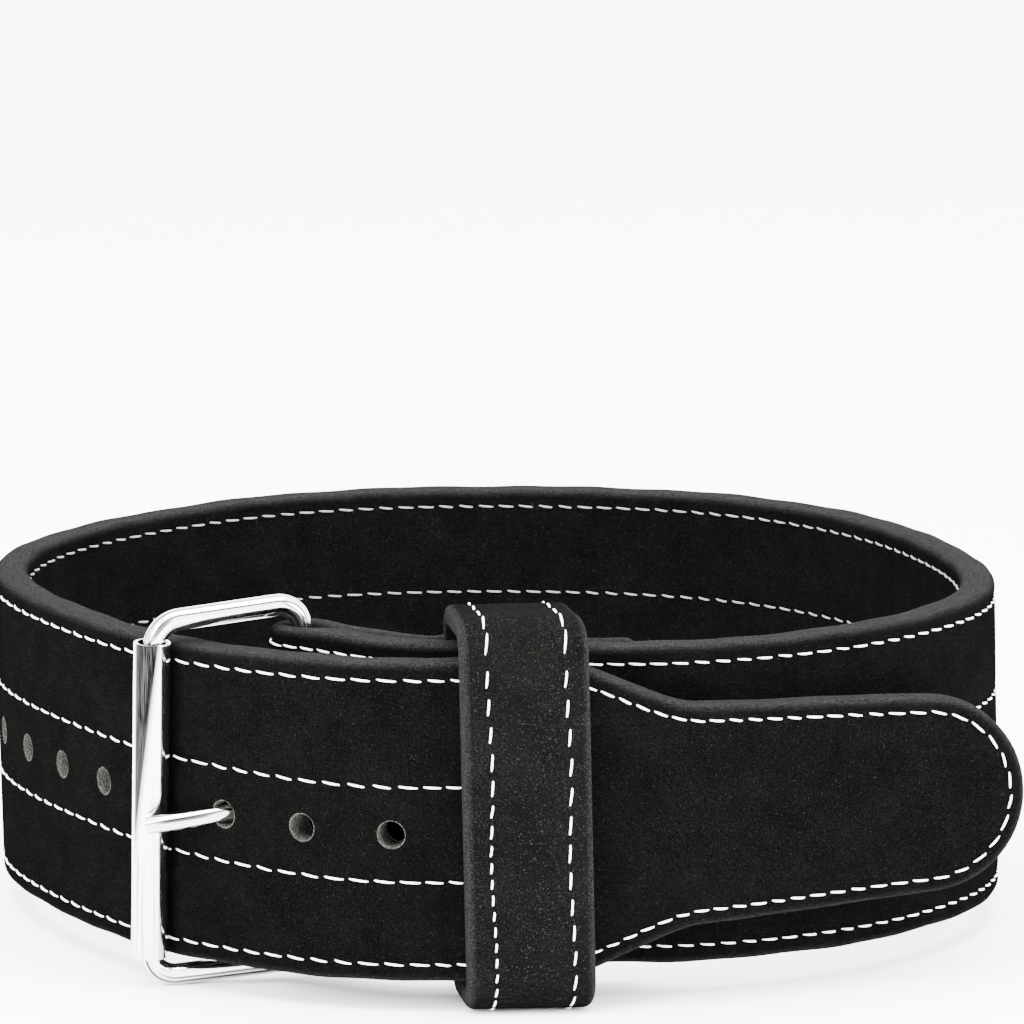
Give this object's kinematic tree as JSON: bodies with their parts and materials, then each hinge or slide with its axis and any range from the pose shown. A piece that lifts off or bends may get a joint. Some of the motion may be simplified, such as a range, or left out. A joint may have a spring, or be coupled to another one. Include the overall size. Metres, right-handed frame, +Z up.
{
  "type": "weightlifting belt",
  "caption": "Wide black suede lifting belt with rows of pale stitching, fastened in an oval loop: long tongue through a tall roller buckle and a leather keeper, riveted fold behind.",
  "frame": {"origin": "centre of the footprint at the lowest point, which is the underside of the buckle frame and of the keeper", "axes": "+Z up, across the width of the standing strap; +X to the wearer's left along the front, towards the tongue's tip; the buckle side faces -Y"},
  "size_m": [0.3328, 0.3214, 0.126],
  "materials": {
    "black_suede": "napped suede",
    "black_keeper_suede": "napped suede",
    "nickel_wire": "plated, polished",
    "nickel_tube": "plated, polished",
    "nickel_rivet": "plated, satin"
  },
  "bodies": {
    "belt": {"strap": "black_suede", "keeper_loop": "black_keeper_suede", "buckle_frame": "nickel_wire", "prong": "nickel_wire", "rivet_1": "nickel_rivet", "rivet_2": "nickel_rivet", "rivet_3": "nickel_rivet", "rivet_4": "nickel_rivet", "rivet_5": "nickel_rivet", "rivet_6": "nickel_rivet"},
    "roller": {"roller": "nickel_tube"}
  },
  "joints": [
    {"name": "roller_spin", "type": "hinge", "parent": "belt", "child": "roller", "pos_m": [-0.10985, -0.11004, 0.06127], "axis": [0.0406, -0.0422, 0.9983], "continuous": true}
  ]
}
